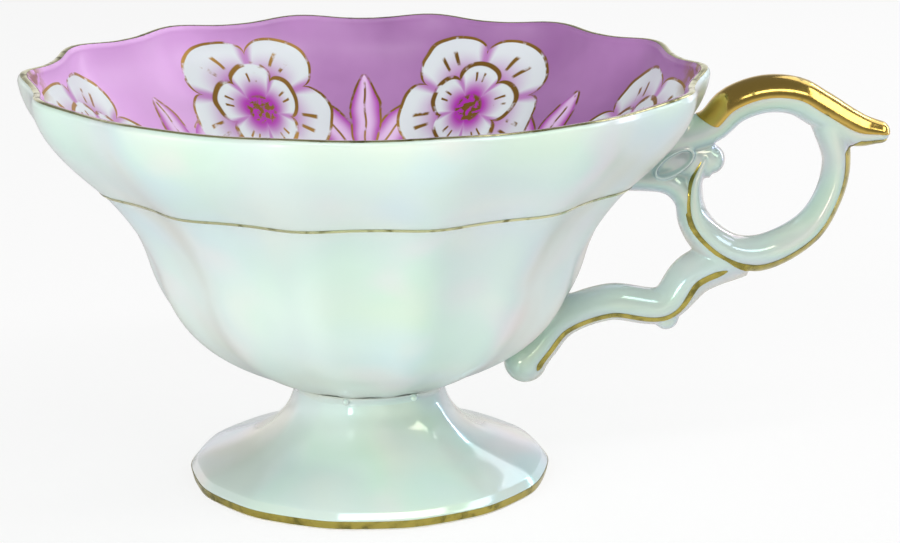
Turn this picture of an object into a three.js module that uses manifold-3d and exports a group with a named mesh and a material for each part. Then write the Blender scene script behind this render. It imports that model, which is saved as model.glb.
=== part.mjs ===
// A footed porcelain cup: a panelled bowl on a hollow trumpet foot, with a ring handle held by two arms.
// The three castings are stuck together with slip. A pink enamel lines the bowl, and gold lines are
// fired on the rim, the waist, the foot and the handle.
// Millimetres, +Z up. The cup stands on z = 0, and the handle points along +X.
import * as THREE from "three";
import { LoftGeometry } from "three/addons/geometries/LoftGeometry.js";
import { mergeVertices } from "three/addons/utils/BufferGeometryUtils.js";
import Module from "manifold-3d";

const wasm = await Module();
wasm.setup();

// Panels moulded round the bowl and the foot
const panelCount = 14;
const stepsPerPanel = 4;
const ridgeSharpness = 2.6;
const bowlPanelDepth = 1.7;
const footPanelDepth = 0.45;
const rimScallop = 0.5;

// Bowl, outside, measured on a ridge between two panels
const rimRadius = 49.8;
const rimHeight = 60.7;
const waistRadius = 40.2;
const waistHeight = 46.4;
const bellyRadius = 31.9;
const bellyHeight = 33;
const seatRadius = 11.1;
const seatHeight = 14.5;

// Bowl, slopes in degrees from the upright, and how far each slope carries on
const rimSlope = 5;
const waistSlope = 47;
const bellySlope = 15;
const seatSlope = 70;
const rimEase = 5.4;
const waistEaseUp = 5.4;
const waistEaseDown = 4;
const bellyEaseUp = 5;
const bellyEaseDown = 9.3;
const seatEase = 13;

// Bowl, thickness
const wallThickness = 2.6;
const lipThickness = 1.7;
const floorThickness = 3.6;
const floorRadius = 8;

// Foot
const footRadius = 26.8;
const footEdgeHeight = 0.9;
const footEdgeTuck = 0.3;
const skirtRadius = 18.6;
const skirtHeight = 5.2;
const skirtSlope = 68;
const skirtEase = 3.3;
const footEdgeEase = 1.5;
const neckEase = 4.4;
const footWall = 2.6;
const footRingWidth = 2.8;

// Ring of the handle, an oval hole with a band round it
const ringReach = 17.4;
const ringHeight = 44.5;
const holeLength = 19.5;
const holeWidth = 16.2;
const holeTilt = 45;
const ringDepth = 6.6;
const curlWidth = 1.9;
const scrollSideWidth = 2.6;
const ringBottomWidth = 5.4;
const ringBackWidth = 4.1;

// Crest of the handle, from the collar over the ring to the thumb rest
const crestRootHeight = 48.6;
const crestWidth = 5.5;
const crestDepth = 7.4;
const spurReach = 17;
const spurRise = 6.1;
const spurWidth = 3.2;
const spurDepth = 5;
const spurSag = 0.9;
const spurSagShare = 0.6;
const crestRootWidth = 5;

// Arms between the ring and the collar, and the leaf moulded on them
const armDrop = 4.9;
const armWidth = 4.3;
const armDepth = 6.2;
const armBendReach = 4.6;
const scrollWidth = 3.5;
const scrollDepth = 5.6;
const scrollStartAngle = 199;
const scrollEndAngle = 236;
const scrollNear = 2.1;
const scrollFar = 3.6;
const webDrop = 2.6;
const webWidth = 5;
const webDepth = 5.4;
const curlReach = 0.5;
const curlRadius = 1.9;
const leafLength = 6.6;
const leafWidth = 2.6;
const leafProud = 0.6;
const leafTilt = 32;

// Strut from the ring down to the side of the bowl
const strutWidth = 5.6;
const strutDepth = 6;
const kneeReach = 14.2;
const kneeDrop = 19.5;
const strutBow = 1.2;
const kneeKnob = 1.9;
const knobShift = 0.5;
const knobSink = 0.6;
const strutCrownReach = 8.6;
const strutCrownHeight = 25.5;
const strutRootRise = 9.4;
const strutBite = 1.2;
const strutTaperShare = 0.6;
const lobeRise = 4.8;
const lobeRadius = 3.2;
const lobeBite = 0;

// Layers fired on, and the slip in the joints
const layerGap = 0.05;
const cutGap = 0.3;
const goldThickness = 0.15;
const enamelThickness = 0.15;
const slipThickness = 0.3;
const enamelTopGap = 0.4;
const waistGoldWidth = 0.7;
const goldLineRadius = 0.45;
const goldLineProud = 0.15;
const crestGoldLapAngle = 80;
const crestGoldStartShare = 0.16;
const ringLineAngle = 62;
const ringLineFadeShare = 0.55;
const ringLineTurnShare = 0.52;
const ringLineEndShare = 0.84;
const strutLineAngle = 42;
const strutLineStartShare = 0.06;
const lineEndShare = 0.02;

// Fineness of the facets
const curveSteps = 3;
const undersideSteps = 5;
const ringSteps = 26;
const crestSteps = 20;
const armSteps = 14;
const webSteps = 5;
const strutSteps = 24;
const ringLineSteps = 10;
const strutLineSteps = 14;
const goldArcSteps = 8;
const lipSteps = 3;
const sectionSides = 10;
const lineSides = 5;

const V2 = THREE.Vector2;
const V3 = THREE.Vector3;
const radians = THREE.MathUtils.degToRad;

// Even shares from 0 to 1, and even angles round a turn
const shares = (steps) => Array.from({ length: steps + 1 }, (unused, i) => i / steps);
const around = (sides) => Array.from({ length: sides }, (unused, i) => (2 * Math.PI * i) / sides);

// A closed geometry as a solid, and back
function toSolid(geometry) {
  const bare = new THREE.BufferGeometry();
  bare.setAttribute("position", geometry.getAttribute("position"));
  bare.setIndex(geometry.getIndex());
  const merged = mergeVertices(bare, 1e-4);
  const corners = merged.index.array;
  const kept = [];
  for (let i = 0; i < corners.length; i += 3) {
    const [a, b, c] = [corners[i], corners[i + 1], corners[i + 2]];
    if (a !== b && b !== c && c !== a) kept.push(a, b, c);
  }
  const mesh = new wasm.Mesh({
    numProp: 3,
    vertProperties: merged.attributes.position.array,
    triVerts: new Uint32Array(kept),
  });
  return new wasm.Manifold(mesh);
}

function toGeometry(solid) {
  const mesh = solid.getMesh();
  const geometry = new THREE.BufferGeometry();
  geometry.setAttribute("position", new THREE.BufferAttribute(mesh.vertProperties, 3));
  geometry.setIndex(new THREE.BufferAttribute(mesh.triVerts, 1));
  geometry.computeVertexNormals();
  return geometry;
}

const joined = (solids) => solids.reduce((whole, solid) => whole.add(solid));

// The main body of a solid, without the chips that a cut leaves beside it
const mainBody = (solid) =>
  solid.decompose().reduce((main, body) => (body.volume() > main.volume() ? body : main));

// 0 on a ridge, 1 in the middle of a panel; a ridge lies under the handle
function panelWave(angle) {
  return 1 - Math.abs(Math.cos((panelCount * angle) / 2)) ** ridgeSharpness;
}

// A turned profile of (radius, height) points, drawn in at the middle of each panel
function panelled(profile, panelDepth, edgeRadius) {
  const geometry = new THREE.LatheGeometry(profile, panelCount * stepsPerPanel);
  geometry.rotateX(Math.PI / 2);
  const position = geometry.getAttribute("position");
  for (let i = 0; i < position.count; i += 1) {
    const x = position.getX(i);
    const y = position.getY(i);
    const z = position.getZ(i);
    const wave = panelWave(Math.atan2(y, x));
    const shrink = 1 - (wave * panelDepth) / edgeRadius;
    const collar = THREE.MathUtils.smoothstep(z, waistHeight, rimHeight);
    position.setXYZ(i, x * shrink, y * shrink, z - wave * rimScallop * collar);
  }
  return toGeometry(toSolid(geometry));
}

const onBowl = (profile) => panelled(profile, bowlPanelDepth, rimRadius);
const onFoot = (profile) => panelled(profile, footPanelDepth, footRadius);

// A cubic curve between two points whose ends leave along given directions
function eased(start, startDirection, startEase, end, endDirection, endEase) {
  const leave = start.clone().addScaledVector(startDirection, startEase);
  const arrive = end.clone().addScaledVector(endDirection, -endEase);
  return new THREE.CubicBezierCurve(start, leave, arrive, end);
}

// The direction up a wall that leans out by an angle from the upright
const leaning = (degrees) => new V2(Math.sin(radians(degrees)), Math.cos(radians(degrees)));

// The points of a run of curves, each shared end once
function sampled(curves, steps) {
  const points = curves.flatMap((curve, i) => curve.getPoints(steps[i]).slice(0, -1));
  points.push(curves.at(-1).getPoint(1));
  return points;
}

// The right-hand normals of a line of points
function normalsOf(points) {
  return points.map((point, i) => {
    const before = points[Math.max(i - 1, 0)];
    const after = points[Math.min(i + 1, points.length - 1)];
    const along = after.clone().sub(before).normalize();
    return new V2(along.y, -along.x);
  });
}

// The line moved sideways; the distance may change from its first point to its last
function offset(points, first, last = first) {
  const normals = normalsOf(points);
  return points.map((point, i) => {
    const distance = THREE.MathUtils.lerp(first, last, i / (points.length - 1));
    return point.clone().addScaledVector(normals[i], distance);
  });
}

// A closed band that lies on a line of points
function bandOn(points, thickness) {
  const under = offset(points, layerGap).reverse();
  const over = offset(points, layerGap + thickness);
  return [...over, ...under, over[0]];
}

// Outer wall of the bowl, from the seat on the foot up to the lip
const lipRadius = lipThickness / 2;
const seat = new V2(seatRadius, seatHeight);
const belly = new V2(bellyRadius, bellyHeight);
const waist = new V2(waistRadius, waistHeight);
const lip = new V2(rimRadius, rimHeight - lipRadius);
const bowlOutside = sampled([
  eased(seat, leaning(seatSlope), seatEase, belly, leaning(bellySlope), bellyEaseDown),
  eased(belly, leaning(bellySlope), bellyEaseUp, waist, leaning(waistSlope), waistEaseDown),
  eased(waist, leaning(waistSlope), waistEaseUp, lip, leaning(rimSlope), rimEase),
], [undersideSteps, curveSteps, curveSteps]);

// The point of the outer wall at a height, moved out of the wall by a distance
function wallPoint(height, distance) {
  const last = bowlOutside.length - 2;
  const found = bowlOutside.findIndex((point, i) => i > last || bowlOutside[i + 1].y >= height);
  const i = Math.min(found, last);
  const [low, high] = [bowlOutside[i], bowlOutside[i + 1]];
  const share = THREE.MathUtils.clamp((height - low.y) / (high.y - low.y), 0, 1);
  const along = high.clone().sub(low);
  const normal = new V2(along.y, -along.x).normalize();
  return low.clone().addScaledVector(along, share).addScaledVector(normal, distance);
}

// The round lip, from its outside over the top to its inside
function lipArc(radius) {
  const centre = new V2(rimRadius - lipRadius, rimHeight - lipRadius);
  return shares(lipSteps).map((share) => {
    const angle = Math.PI * share;
    return new V2(Math.cos(angle), Math.sin(angle)).multiplyScalar(radius).add(centre);
  });
}

// Inner wall of the bowl, from the lip down to the floor and to the axis
const floorHeight = seatHeight + floorThickness;
const wallInside = offset(bowlOutside, -wallThickness, -lipThickness)
  .filter((point) => point.x > floorRadius && point.y > floorHeight)
  .slice(0, -1)
  .reverse();
const lipInside = new V2(rimRadius - lipThickness, rimHeight - lipRadius);
const bowlInside = [
  lipInside,
  ...wallInside,
  new V2(floorRadius, floorHeight),
  new V2(0, floorHeight),
];

const bowlProfile = [
  new V2(0, seatHeight),
  ...bowlOutside,
  ...lipArc(lipRadius).slice(1, -1),
  ...bowlInside,
];
const bowl = onBowl(bowlProfile);

// Enamel on the inside, from under the gold of the rim down to the middle of the floor
const enamelDrop = enamelTopGap / lipInside.distanceTo(bowlInside[1]);
const enamelTop = lipInside.clone().lerp(bowlInside[1], enamelDrop);
const enamelLine = [enamelTop, ...bowlInside.slice(1)];
const enamelUnder = offset(enamelLine, layerGap);
const enamelOver = offset(enamelLine, layerGap + enamelThickness);
enamelUnder.at(-1).x = 0;
enamelOver.at(-1).x = 0;
const interiorEnamel = onBowl([...enamelUnder.reverse(), ...enamelOver]);

// Gold round the rim and the waist
const rimGilding = onBowl([
  ...lipArc(lipRadius + layerGap).reverse(),
  ...lipArc(lipRadius + layerGap + goldThickness),
  lipArc(lipRadius + layerGap).at(-1),
]);
const waistLine = [-0.5, 0, 0.5].map((share) => wallPoint(waistHeight + share * waistGoldWidth, 0));
const rootDepth = Math.max(crestDepth, armDepth, webDepth);
const handleGap = new THREE.BoxGeometry(rimRadius, rootDepth + 2 * cutGap, rimHeight);
handleGap.translate(rimRadius, 0, waistHeight);
const waistGilding = toSolid(onBowl(bandOn(waistLine, goldThickness))).subtract(toSolid(handleGap));

// Foot: a trumpet, hollow from below, with a flat ring to stand on
const footTop = seatHeight - slipThickness;
const footNeck = new V2(seatRadius, footTop);
const skirt = new V2(skirtRadius, skirtHeight);
const footEdge = new V2(footRadius, footEdgeHeight);
const down = new V2(0, -1);
const downSkirt = new V2(Math.sin(radians(skirtSlope)), -Math.cos(radians(skirtSlope)));
const footSide = sampled([
  eased(footNeck, down, neckEase, skirt, downSkirt, skirtEase),
  eased(skirt, downSkirt, skirtEase, footEdge, down, footEdgeEase),
], [curveSteps, curveSteps]).reverse();
const footBase = new V2(footRadius - footEdgeTuck, 0);
const footHollow = offset(footSide, -footWall)
  .filter((point) => point.y > footEdgeHeight && point.x < footBase.x - footRingWidth)
  .filter((point) => point.y < footTop - footWall);
const hollowTop = new V2(footHollow.at(-1).x, footTop - footWall);
const pedestalFoot = onFoot([
  new V2(0, footTop - footWall),
  hollowTop,
  ...footHollow.reverse(),
  new V2(footBase.x - footRingWidth, 0),
  footBase,
  ...footSide,
  new V2(0, footTop),
]);
const footGoldBand = bandOn([footBase, footEdge], goldThickness);
footGoldBand.forEach((point) => point.setY(Math.max(point.y, layerGap)));
const footGilding = onFoot(footGoldBand);
const footSlip = onFoot([
  new V2(0, footTop),
  new V2(seatRadius, footTop),
  new V2(seatRadius, seatHeight),
  new V2(0, seatHeight),
]);

// Middle of the ring in the handle's plane: reach from the cup's axis, and height
const ringCentre = new V2(waistRadius + ringReach, ringHeight);

// How far the edge of the oval hole lies from the middle of the ring, in a direction
function holeEdge(degrees) {
  const off = radians(degrees - holeTilt);
  const long = (2 * Math.cos(off)) / holeLength;
  const short = (2 * Math.sin(off)) / holeWidth;
  return 1 / Math.hypot(long, short);
}

// A point in that direction, out from the edge of the hole
function ringPoint(degrees, out) {
  const angle = radians(degrees);
  const distance = holeEdge(degrees) + out;
  return new V2(Math.cos(angle), Math.sin(angle)).multiplyScalar(distance).add(ringCentre);
}

// A limb of the handle: stations of place, width in the handle's plane and depth across it
function limb(stations, steps) {
  const path = new THREE.CatmullRomCurve3(
    stations.map(({ at }) => new V3(at.x, 0, at.y)), false, "centripetal");
  const sizes = new THREE.SplineCurve(stations.map(({ width, depth }) => new V2(width / 2, depth / 2)));
  return { path, sizes, steps };
}

// The middle of a limb, its side direction in the plane, and its half sizes, a share t along it
function limbFrame(part, t) {
  const middle = part.path.getPoint(t);
  const along = part.path.getTangent(t);
  const side = new V3(along.z, 0, -along.x);
  const half = part.sizes.getPoint(t);
  return { middle, side, half };
}

// A point on a limb's skin, at an angle from its side direction, raised by a distance
function onLimb(part, t, angle, raise) {
  const { middle, side, half } = limbFrame(part, t);
  const across = new V3(0, 1, 0);
  const outward = side.clone().multiplyScalar(Math.cos(angle) / half.x)
    .addScaledVector(across, Math.sin(angle) / half.y)
    .normalize();
  return middle
    .addScaledVector(side, half.x * Math.cos(angle))
    .addScaledVector(across, half.y * Math.sin(angle))
    .addScaledVector(outward, raise);
}

function limbSolid(part) {
  const sections = shares(part.steps).map((t) =>
    around(sectionSides).map((angle) => onLimb(part, t, angle, 0)));
  return toSolid(new LoftGeometry(sections, { capStart: true, capEnd: true }));
}

// A round tube through points, closed at both ends
function lineSolid(points, radius) {
  const path = new THREE.CatmullRomCurve3(points);
  const ring = new THREE.Shape(around(lineSides).map((angle) =>
    new V2(Math.cos(angle), Math.sin(angle)).multiplyScalar(radius)));
  const steps = points.length - 1;
  return toSolid(new THREE.ExtrudeGeometry(ring, { steps, extrudePath: path }));
}

// An egg of given half sizes, turned in the handle's plane
function eggSolid(at, halfLength, halfWidth, halfDepth, degrees) {
  const geometry = new THREE.SphereGeometry(1, sectionSides, sectionSides / 2);
  geometry.scale(halfLength, halfDepth, halfWidth);
  geometry.rotateY(-radians(degrees));
  geometry.translate(at.x, 0, at.y);
  return toSolid(geometry);
}

// Band of the ring: from the curl down the near side, along the bottom and up the back
const ringStation = (degrees, width) => ({ at: ringPoint(degrees, width / 2), width, depth: ringDepth });
const ring = limb([
  ringStation(168, curlWidth),
  ringStation(188, scrollSideWidth),
  ringStation(215, scrollSideWidth),
  ringStation(245, (scrollSideWidth + ringBottomWidth) / 2),
  ringStation(268, ringBottomWidth),
  ringStation(308, (ringBottomWidth + ringBackWidth) / 2),
  ringStation(340, ringBackWidth),
  ringStation(370, ringBackWidth),
  ringStation(400, crestWidth),
], ringSteps);

// Crest: collar, over the ring, and out to the tip of the thumb rest
const spurTip = new V2(ringCentre.x + spurReach, ringCentre.y + spurRise);
const crestSize = { width: crestWidth, depth: crestDepth };
const spurSize = { width: spurWidth, depth: spurDepth };
const spurMiddleSize = { width: crestRootWidth, depth: (crestDepth + spurDepth) / 2 };
const crestRootSize = { width: crestRootWidth, depth: crestDepth };
const crestTop = (degrees) => ({ at: ringPoint(degrees, crestWidth / 2), ...crestSize });
const spurLeave = crestTop(50);
const spurMiddle = spurLeave.at.clone().lerp(spurTip, spurSagShare);
spurMiddle.y -= spurSag;
const crest = limb([
  { at: wallPoint(crestRootHeight, -wallThickness), ...crestRootSize },
  { at: ringPoint(138, crestRootWidth / 2), ...crestRootSize },
  crestTop(114),
  crestTop(90),
  crestTop(68),
  spurLeave,
  { at: spurMiddle, ...spurMiddleSize },
  { at: spurTip, ...spurSize },
], crestSteps);
const spurEnd = eggSolid(spurTip, spurWidth / 2, spurWidth / 2, spurDepth / 2, 0);

// Lower arm and the scroll that it runs into, behind the band of the ring
const armSize = { width: armWidth, depth: armDepth };
const scrollSize = { width: scrollWidth, depth: scrollDepth };
const scrollStations = shares(3).map((share) => {
  const degrees = THREE.MathUtils.lerp(scrollStartAngle, scrollEndAngle, share);
  const out = THREE.MathUtils.lerp(scrollNear, scrollFar, share);
  return { at: ringPoint(degrees, out), ...scrollSize };
});
const arm = limb([
  { at: wallPoint(crestRootHeight - armDrop, -wallThickness), ...armSize },
  { at: ringPoint(184, armBendReach), ...armSize },
  ...scrollStations,
], armSteps);

// Web that fills the corner between the crest and the arm, and the curl that ends it in the hole
const curlAt = ringPoint(163, -curlReach);
const webRoot = wallPoint(crestRootHeight - webDrop, -wallThickness);
const webMiddle = webRoot.clone().lerp(curlAt, 0.5);
const webSize = { width: webWidth, depth: webDepth };
const web = limb([
  { at: webRoot, ...webSize },
  { at: webMiddle, ...webSize },
  { at: curlAt, ...webSize },
], webSteps);
const curl = eggSolid(curlAt, curlRadius, curlRadius, ringDepth / 2, 0);
const leaf = eggSolid(webMiddle, leafLength / 2, leafWidth / 2, webDepth / 2 + leafProud, leafTilt);

// Strut: ring, knee, crown, down the side of the bowl to a lobe
const knee = new V2(ringCentre.x - kneeReach, ringCentre.y - kneeDrop);
const crown = new V2(wallPoint(strutCrownHeight, strutCrownReach).x, strutCrownHeight);
const strutSize = { width: strutWidth, depth: strutDepth };
const strutTop = ringPoint(254, ringBottomWidth / 2);
const lobeAt = wallPoint(seatHeight + lobeRise, lobeRadius - lobeBite);
const strutRoot = wallPoint(seatHeight + strutRootRise, strutWidth / 2 - strutBite);
const strutBend = strutTop.clone().lerp(knee, 0.5).add(new V2(-strutBow, strutBow));
const strut = limb([
  { at: strutTop, ...strutSize },
  { at: strutBend, ...strutSize },
  { at: knee, ...strutSize },
  { at: crown, ...strutSize },
  { at: strutRoot, ...strutSize },
  { at: strutRoot.clone().lerp(lobeAt, strutTaperShare), ...strutSize },
  { at: lobeAt, width: 2 * lobeRadius, depth: strutDepth },
], strutSteps);
const lobe = eggSolid(lobeAt, lobeRadius, lobeRadius, strutDepth / 2, 0);
const knobAt = knee.clone().add(new V2(knobShift, knobSink - strutWidth / 2));
const knob = eggSolid(knobAt, kneeKnob, kneeKnob, kneeKnob, 0);

// Gold lines of the handle, on the ring's two faces and round its back, and on the strut's two faces
function lineOn(part, from, to, count, angleAt, radius) {
  const points = shares(count).map((share) => {
    const t = THREE.MathUtils.lerp(from, to, share);
    return onLimb(part, t, angleAt(share), goldLineProud - goldLineRadius);
  });
  return lineSolid(points, radius);
}

const ringFaceFade = (share) =>
  radians(ringLineAngle) * (1 - THREE.MathUtils.smoothstep(share, ringLineFadeShare, 1));
const ringFaceLine = (side, radius) =>
  lineOn(ring, lineEndShare, ringLineTurnShare, ringLineSteps, (share) => side * ringFaceFade(share), radius);
const ringBackLine = (radius) =>
  lineOn(ring, ringLineTurnShare - lineEndShare / 2, ringLineEndShare, ringLineSteps, () => 0, radius);
const ringLine = (radius) =>
  joined([ringFaceLine(-1, radius), ringFaceLine(1, radius), ringBackLine(radius)]);
const strutLineFrom = (side) => Math.PI - side * radians(strutLineAngle);
const strutLine = (side, radius) =>
  lineOn(strut, strutLineStartShare, 1 - lineEndShare, strutLineSteps, () => strutLineFrom(side), radius);

// The handle before it is cut to the bowl
const roughHandle = joined([
  limbSolid(ring), limbSolid(crest), spurEnd, limbSolid(arm), limbSolid(web), curl, leaf,
  limbSolid(strut), lobe, knob,
]);

// The bowl filled in, and grown by a distance
function bowlGrown(distance) {
  const side = offset(bowlOutside, distance);
  const top = rimHeight + distance;
  return toSolid(onBowl([
    new V2(0, seatHeight - distance),
    new V2(seatRadius, seatHeight - distance),
    ...side,
    new V2(rimRadius + distance, top),
    new V2(0, top),
  ]));
}

const grooves = [
  ringLine(goldLineRadius + layerGap),
  strutLine(1, goldLineRadius + layerGap),
  strutLine(-1, goldLineRadius + layerGap),
];
const handleSeat = bowlGrown(slipThickness + 2 * layerGap);
const handle = mainBody(roughHandle.subtract(handleSeat).subtract(joined(grooves)));

// Slip between the handle and the bowl, under the crest and the arms, and under the strut
const slipBed = roughHandle.intersect(bowlGrown(slipThickness + layerGap)).subtract(bowlGrown(layerGap));
const slipPads = slipBed.decompose();
const padHeight = (pad) => pad.boundingBox().max[2];
const byHeight = slipPads.sort((a, b) => padHeight(a) - padHeight(b));

// Gold over the top of the crest, from the collar to the thumb rest
const crestGoldArc = (t, raise) => shares(goldArcSteps).map((share) =>
  onLimb(crest, t, Math.PI + radians(crestGoldLapAngle) * (2 * share - 1), raise));
const crestGoldSections = shares(crestSteps).map((share) => {
  const t = THREE.MathUtils.lerp(crestGoldStartShare, 1, share);
  return [...crestGoldArc(t, layerGap).reverse(), ...crestGoldArc(t, layerGap + goldThickness)];
});
const crestGoldShell = toSolid(new LoftGeometry(crestGoldSections, { capStart: true, capEnd: true }));
const crestGold = mainBody(crestGoldShell.subtract(handleSeat));

// Finishes
const finish = (color, roughness, metalness) =>
  new THREE.MeshStandardMaterial({ color, roughness, metalness });
const porcelain = finish(0xdce9e2, 0.16, 0);
const slip = finish(0xcfded6, 0.25, 0);
const enamel = finish(0xc48ad2, 0.2, 0);
const gold = finish(0xc2922c, 0.22, 1);

const cup = new THREE.Group();
function place(name, shape, material) {
  const geometry = shape.isBufferGeometry ? shape : toGeometry(shape);
  const mesh = new THREE.Mesh(geometry, material);
  mesh.name = name;
  cup.add(mesh);
}

place("bowl", bowl, porcelain);
place("interior_enamel", interiorEnamel, enamel);
place("rim_gilding", rimGilding, gold);
place("waist_gilding", waistGilding, gold);
place("pedestal_foot", pedestalFoot, porcelain);
place("foot_gilding", footGilding, gold);
place("foot_slip", footSlip, slip);
place("handle", handle, porcelain);
place("upper_handle_slip", byHeight.at(-1), slip);
place("lower_handle_slip", byHeight[0], slip);
place("crest_gilding", crestGold, gold);
place("ring_gilding", ringLine(goldLineRadius), gold);
place("front_strut_gilding", strutLine(-1, goldLineRadius), gold);
place("back_strut_gilding", strutLine(1, goldLineRadius), gold);

// The part stands with the middle of its box over the origin
const middle = new THREE.Box3().setFromObject(cup).getCenter(new V3());
cup.children.forEach((mesh) => mesh.position.set(-middle.x, -middle.y, 0));

export default cup;
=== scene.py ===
import math
from functools import partialmethod

import bmesh
import bpy
from bpy.props import FloatProperty, FloatVectorProperty, IntProperty, PointerProperty
from mathutils import Matrix, Vector
from mathutils.bvhtree import BVHTree
from mathutils.geometry import interpolate_bezier


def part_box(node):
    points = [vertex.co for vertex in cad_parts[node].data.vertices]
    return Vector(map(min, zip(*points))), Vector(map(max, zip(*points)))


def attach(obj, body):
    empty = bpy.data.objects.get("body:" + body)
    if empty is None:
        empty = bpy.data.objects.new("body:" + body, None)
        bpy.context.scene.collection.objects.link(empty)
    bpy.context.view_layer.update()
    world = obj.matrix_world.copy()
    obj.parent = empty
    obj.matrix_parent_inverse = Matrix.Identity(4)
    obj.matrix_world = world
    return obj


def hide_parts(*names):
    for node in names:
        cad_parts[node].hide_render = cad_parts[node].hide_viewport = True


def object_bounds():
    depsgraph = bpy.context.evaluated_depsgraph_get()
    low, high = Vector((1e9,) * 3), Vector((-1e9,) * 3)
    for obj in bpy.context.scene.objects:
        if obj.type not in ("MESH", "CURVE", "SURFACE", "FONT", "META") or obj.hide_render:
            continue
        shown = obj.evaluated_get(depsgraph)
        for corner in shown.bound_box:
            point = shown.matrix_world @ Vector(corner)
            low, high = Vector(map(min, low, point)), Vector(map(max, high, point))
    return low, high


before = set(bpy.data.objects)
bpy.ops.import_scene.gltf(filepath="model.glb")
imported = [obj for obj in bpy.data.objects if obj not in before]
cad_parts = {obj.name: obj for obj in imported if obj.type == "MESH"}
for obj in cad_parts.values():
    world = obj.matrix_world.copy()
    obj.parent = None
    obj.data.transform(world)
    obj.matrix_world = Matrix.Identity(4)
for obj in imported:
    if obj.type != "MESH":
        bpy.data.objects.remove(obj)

bl_info = {
    "name": "Footed cup",
    "version": (1, 0, 0),
    "blender": (4, 5, 0),
    "location": "View3D > Sidebar > Cup",
    "description": "A footed porcelain cup with a ring handle, an enamel lining and gold lines",
    "category": "Add Mesh",
}

MM = 0.001
TURN = 2 * math.pi
BODY = "root"
CAD_LOW, CAD_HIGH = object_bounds()
BOWL_LOW, BOWL_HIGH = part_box("bowl")
AXIS = Vector(((BOWL_LOW.x + BOWL_HIGH.x) / 2, 0, 0))
MERGE_DISTANCE = 1e-7
SHARP_ANGLE = math.radians(50)


# Property helpers
def length(name, millimetres, description):
    """A length that a user may change, given in millimetres and kept in metres."""
    return FloatProperty(name=name, description=description, default=millimetres * MM,
                         unit="LENGTH", precision=5)


def angle(name, degrees, description):
    """An angle that a user may change, given in degrees and kept in radians."""
    return FloatProperty(name=name, description=description, default=math.radians(degrees),
                         subtype="ANGLE")


def share(name, value, description):
    """A share or strength that a user may change."""
    return FloatProperty(name=name, description=description, default=value, precision=3)


def linear(channel):
    """A screen value from 0 to 255 as scene light."""
    value = channel / 255
    return value / 12.92 if value <= 0.04045 else ((value + 0.055) / 1.055) ** 2.4


def colour(name, red, green, blue, description):
    """A colour that a user may change, given as screen values."""
    return FloatVectorProperty(name=name, description=description, subtype="COLOR", min=0, max=1,
                               default=(linear(red), linear(green), linear(blue)))


class BowlSizes(bpy.types.PropertyGroup):
    """Sizes of the bowl, measured on a ridge between two panels."""

    panels: IntProperty(name="Panels", description="Panels round the bowl and the foot", default=14)
    steps: IntProperty(name="Steps", description="Facets across one panel", default=16)
    sharpness: share("Ridge sharpness", 2.6, "How tight the ridges between the panels are")
    panel_depth: length("Panel depth", 1.7, "How far a panel draws in at the rim")
    scallop: length("Rim scallop", 0.5, "How far the rim dips in the middle of a panel")
    rim_radius: length("Rim radius", 49.65, "From the axis to the rim")
    rim_height: length("Rim height", 60.6, "From the table to the top of the rim")
    waist_radius: length("Waist radius", 40.2, "From the axis to the line under the collar")
    waist_height: length("Waist height", 46.4, "From the table to the line under the collar")
    belly_radius: length("Belly radius", 31.9, "From the axis to the side of the bowl")
    belly_height: length("Belly height", 33, "From the table to the side of the bowl")
    seat_radius: length("Seat radius", 11.1, "Where the bowl stands on the foot")
    seat_height: length("Seat height", 14.5, "From the table to the seat")
    rim_slope: angle("Rim slope", 5, "Lean of the wall at the rim")
    waist_slope: angle("Waist slope", 47, "Lean of the wall at the waist")
    belly_slope: angle("Belly slope", 15, "Lean of the wall at the belly")
    seat_slope: angle("Seat slope", 70, "Lean of the wall at the seat")
    rim_ease: length("Rim ease", 5.4, "How far the slope at the rim carries down")
    waist_ease_up: length("Waist ease up", 5.4, "How far the slope at the waist carries up")
    waist_ease_down: length("Waist ease down", 4, "How far the slope at the waist carries down")
    belly_ease_up: length("Belly ease up", 5, "How far the slope at the belly carries up")
    belly_ease_down: length("Belly ease down", 9.3, "How far the slope at the belly carries down")
    seat_ease: length("Seat ease", 13, "How far the slope at the seat carries up")
    wall: length("Wall", 2.6, "Thickness of the wall at the seat")
    lip: length("Lip", 1.7, "Thickness of the rounded lip")
    floor: length("Floor", 3.6, "Thickness of the floor")


class FootSizes(bpy.types.PropertyGroup):
    """Sizes of the hollow foot."""

    radius: length("Foot radius", 26.5, "From the axis to the edge of the foot")
    panel_depth: length("Panel depth", 0.2, "How far a panel draws in at the edge")
    edge_height: length("Edge height", 1.4, "Height of the gilded edge")
    edge_tuck: length("Edge tuck", 0.3, "How far the edge draws in at the table")
    skirt_radius: length("Skirt radius", 18.6, "Where the foot starts to spread")
    skirt_height: length("Skirt height", 5.2, "Height of that place")
    skirt_slope: angle("Skirt slope", 68, "Lean of the skirt")
    skirt_ease: length("Skirt ease", 3.3, "How far the slope of the skirt carries on")
    lip_length: length("Lip length", 1.2, "Length of the sloping lip over the gilded edge")
    lip_slope: angle("Lip slope", 40.5, "Lean of the lip")
    lip_ease: length("Lip ease", 0.4, "How far the skirt rounds over into the lip")
    edge_ease: length("Edge ease", 0.1, "How far the edge rounds over")
    neck_ease: length("Neck ease", 4.4, "How far the neck runs straight")
    wall: length("Wall", 2.6, "Thickness of the foot")
    ring_width: length("Ring width", 2.8, "Width of the ring that stands on the table")
    slip: length("Slip", 0.3, "Thickness of the slip under the bowl")
    slip_fillet: length("Slip fillet", 1.3, "Width of the slip in the corner under the bowl")


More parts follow.
